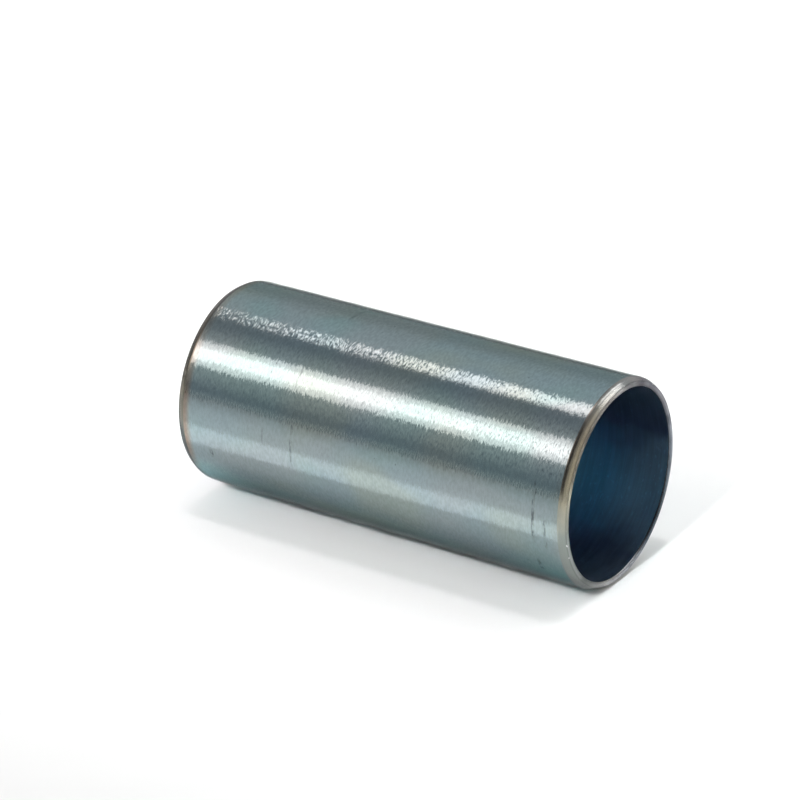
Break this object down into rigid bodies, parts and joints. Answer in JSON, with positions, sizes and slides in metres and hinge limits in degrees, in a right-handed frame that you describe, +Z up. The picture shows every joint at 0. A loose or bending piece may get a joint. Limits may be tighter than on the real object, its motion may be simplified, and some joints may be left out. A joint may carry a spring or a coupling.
{
  "type": "rigid sleeve coupling",
  "caption": "Thin-walled plain steel sleeve with a straight through bore and chamfered ends, pushed over two shaft or tube ends to join them rigidly in line.",
  "frame": {"origin": "on the sleeve's axis at mid-length", "axes": "+X along the bore's axis, +Z up; the sleeve lies on its side, with its lowest line 17.5 mm below the origin"},
  "size_m": [0.075, 0.035, 0.035],
  "materials": {
    "zinc_plated_steel": "bright zinc plate with a faint blue passivation, over fine circumferential grinding marks"
  },
  "bodies": {
    "root": {"sleeve": "zinc_plated_steel"}
  },
  "joints": []
}
